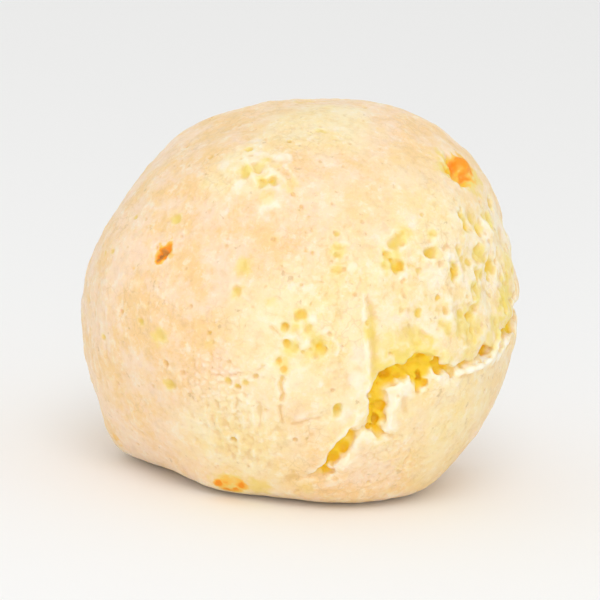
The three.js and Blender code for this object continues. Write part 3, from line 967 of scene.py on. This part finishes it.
CRUST_PALE = srgb(249, 219, 188)
CRUST_WARM = srgb(245, 208, 152)
CRUST_CREAM = srgb(246, 220, 162)
CRUST_CREAM_LIGHT = srgb(249, 230, 190)
CRUMB = srgb(246, 221, 166)
CRUMB_LIGHT = srgb(250, 234, 208)
# painted shade: the darker tan laid into hollows and cracks, where shade falls
HOLLOW_SHADE = srgb(232, 198, 138)
# near-white starch: the flakes' own colour, and also the painted highlight on raised ridges
STARCH = srgb(251, 241, 224)
SPECK = srgb(204, 172, 122)
FLECK = srgb(252, 240, 222)
PIT_YELLOW = srgb(238, 214, 106)
TEAR_GOLD = srgb(250, 208, 36)
TOAST_LIGHT = srgb(250, 196, 84)
TOAST_DARK = srgb(250, 152, 4)
TOAST_BROWN = srgb(192, 130, 56)
SURFACE = {
    "Roughness": 0.6, "Subsurface Weight": 0.7, "Subsurface Scale": 0.0018,
    "Subsurface Radius": (1.0, 0.8, 0.4),
}

# Bumps finer than the mesh: how many there are to a metre, and their height in metres.
COARSE_BUMPS = (1100, 0.0003)
FINE_BUMPS = (3200, 0.00012)
BUMP_STRENGTH = 0.5


def crust_colour(n):
    """Peach and cream mottling, with fine specks."""
    blush = n.remap(n.noise(150, 6, 0.74), 0.4, 0.6)
    crust = n.mix(blush, CRUST_PALE, CRUST_WARM)
    mottle = n.remap(n.noise(260, 6, 0.72), 0.38, 0.62)
    creamy = n.mix(mottle, CRUST_CREAM, CRUST_CREAM_LIGHT)
    crust = n.mix(n.attribute("cream"), crust, creamy)
    crumb = n.mix(mottle, CRUMB, CRUMB_LIGHT)
    colour = n.mix(n.attribute("sponge"), crust, crumb)
    grain = n.noise(620, 6, 0.72)
    colour = n.mix(n.remap(grain, 0.52, 0.66, 0.0, 0.44), colour, FLECK)
    colour = n.mix(n.remap(grain, 0.48, 0.34, 0.0, 0.2), colour, SPECK)
    colour = n.mix(n.remap(n.noise(800, 3), 0.66, 0.74, 0.0, 0.5), colour, SPECK)
    return n.mix(n.math("MULTIPLY", crackle_lines(n), 0.22), colour, SPECK)


def crackle_lines(n):
    """The finest cracks, thin lines that come and go over the crust."""
    where = n.remap(n.noise(140, 4), 0.5, 0.62)
    return n.math("MULTIPLY", n.crackle(620, 0.08), where)


def dough_material():
    """Baked dough: pale crust, yellower crumb, gold in the tears and brown where it toasted, with painted
    shade in the hollows and a painted highlight on raised ridges.
    """
    material = bpy.data.materials.new("baked_cheese_dough")
    material.use_nodes = True
    n = Nodes(material)
    below = n.attribute("below")
    hollow = n.attribute("hollow")
    toast = n.attribute("toast")
    colour = crust_colour(n)
    # Painted shade: hollows and cracks are darkened towards tan by how deep they lie.
    hollow_shade = n.remap(hollow, 0.0, 0.09, 0.0, 0.5)
    colour = n.mix(hollow_shade, colour, HOLLOW_SHADE)
    # Painted highlight: raised ridges and bumps are lightened towards near-white starch.
    ridge = n.remap(hollow, -0.03, -0.16, 0.0, 0.6)
    colour = n.mix(ridge, colour, STARCH)
    colour = n.mix(n.attribute("flake"), colour, STARCH)
    colour = n.mix(n.math("MULTIPLY", n.attribute("yolk"), 0.88), colour, PIT_YELLOW)
    sunk = n.remap(n.math("ADD", below, hollow), 0.2, 1.0, 0.0, 0.9)
    colour = n.mix(sunk, colour, PIT_YELLOW)
    dense = n.remap(n.attribute("sponge"), 0.2, 0.9, 1.0, 0.45)
    golden = n.math("MULTIPLY", n.remap(below, 0.3, 0.95), dense)
    colour = n.mix(golden, colour, TEAR_GOLD)
    browned = n.mix(n.remap(toast, 0.5, 0.95), TOAST_LIGHT, TOAST_DARK)
    browned = n.mix(n.remap(toast, 0.95, 1.2), browned, TOAST_BROWN)
    flecked = n.math("SUBTRACT", toast, n.remap(n.noise(900, 3), 0.45, 0.65, 0.0, 0.25))
    colour = n.mix(n.remap(flecked, 0.05, 0.5), colour, browned)
    normal = n.bump(*FINE_BUMPS, Normal=n.bump(*COARSE_BUMPS))
    shader = n.new("ShaderNodeBsdfPrincipled", {"Base Color": colour, "Normal": normal, **SURFACE})
    n.new("ShaderNodeOutputMaterial", {"Surface": shader.outputs["BSDF"]})
    return material


# ---- the piece ----

def make_ball():
    chart = Chart(CHART_STEP)
    maps = skin_maps(chart)
    field = Field(chart, maps)
    open_sponge(field)
    open_tears(field)
    open_pits(field)
    strew_back(field)
    open_pinholes(field)
    hang_strand(field)
    set_crumb(field)
    roughen(field)
    piece = bpy.data.objects.new("baked_ball", skin_mesh(field))
    bpy.context.scene.collection.objects.link(piece)
    mesh = thinned(piece, MOST_TRIANGLES)
    mesh.polygons.foreach_set("use_smooth", np.ones(len(mesh.polygons), bool))
    paint(mesh, chart, maps)
    mesh.materials.clear()
    mesh.materials.append(dough_material())
    return piece


# ---- stage ----

ELEVATION = 12  # degrees the camera looks down
ROLL = 4.5  # degrees the camera is turned, so that the ball leans clockwise in the picture
CAMERA_AWAY = 0.4
FRAME_WIDTH = 0.0722  # metres that the picture is wide at the ball's heart
SENSOR = 36

# Lights: name, azimuth, elevation, distance, diameter and power.
LIGHTS = [("key", 4, 55, 0.6, 0.3, 0.6), ("front", 2, 2, 0.8, 0.4, 1.75)]
WORLD_COLOUR = (1.0, 1.0, 0.99, 1)
WORLD_STRENGTH = 0.84
FLOOR_COLOUR = (0.94, 0.94, 0.94, 1)
FLOOR_ROUGHNESS = 0.9
FLOOR_CORNERS = [(-3, -3, 0), (3, -3, 0), (3, 3, 0), (-3, 3, 0)]


def place_camera(aim):
    data = bpy.data.cameras.new("camera")
    data.sensor_width = SENSOR
    data.lens = SENSOR * CAMERA_AWAY / FRAME_WIDTH
    data.clip_start = 0.01
    camera = bpy.data.objects.new("camera", data)
    tilt = Matrix.Rotation(math.radians(90 - ELEVATION), 4, "X")
    roll = Matrix.Rotation(math.radians(ROLL), 4, "Z")
    back = Matrix.Translation((0, 0, CAMERA_AWAY))
    camera.matrix_world = Matrix.Translation(aim) @ tilt @ roll @ back
    bpy.context.scene.collection.objects.link(camera)
    bpy.context.scene.camera = camera


def area_light(aim, name, azimuth, elevation, away, size, power):
    data = bpy.data.lights.new(name, "AREA")
    data.shape = "DISK"
    data.size = size
    data.energy = power
    light = bpy.data.objects.new(name, data)
    a, e = math.radians(azimuth), math.radians(elevation)
    offset = Vector((math.sin(a) * math.cos(e), -math.cos(a) * math.cos(e), math.sin(e))) * away
    light.location = aim + offset
    light.rotation_euler = offset.to_track_quat("Z", "Y").to_euler()
    bpy.context.scene.collection.objects.link(light)


def make_floor():
    mesh = bpy.data.meshes.new("floor")
    mesh.from_pydata(FLOOR_CORNERS, [], [(0, 1, 2, 3)])
    floor = bpy.data.objects.new("floor", mesh)
    bpy.context.scene.collection.objects.link(floor)
    material = bpy.data.materials.new("pale_floor")
    material.use_nodes = True
    shader = material.node_tree.nodes["Principled BSDF"]
    shader.inputs["Base Color"].default_value = FLOOR_COLOUR
    shader.inputs["Roughness"].default_value = FLOOR_ROUGHNESS
    mesh.materials.append(material)


def light_stage(aim):
    world = bpy.data.worlds.new("studio")
    world.use_nodes = True
    background = world.node_tree.nodes["Background"]
    background.inputs["Color"].default_value = WORLD_COLOUR
    background.inputs["Strength"].default_value = WORLD_STRENGTH
    bpy.context.scene.world = world
    for light in LIGHTS:
        area_light(aim, *light)
    bpy.context.scene.view_settings.view_transform = "Standard"


ball = make_ball()
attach(ball, "root")
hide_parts("cheese_ball")

aim_point = Vector((HEART * UNIT).tolist())
place_camera(aim_point)
light_stage(aim_point)
make_floor()
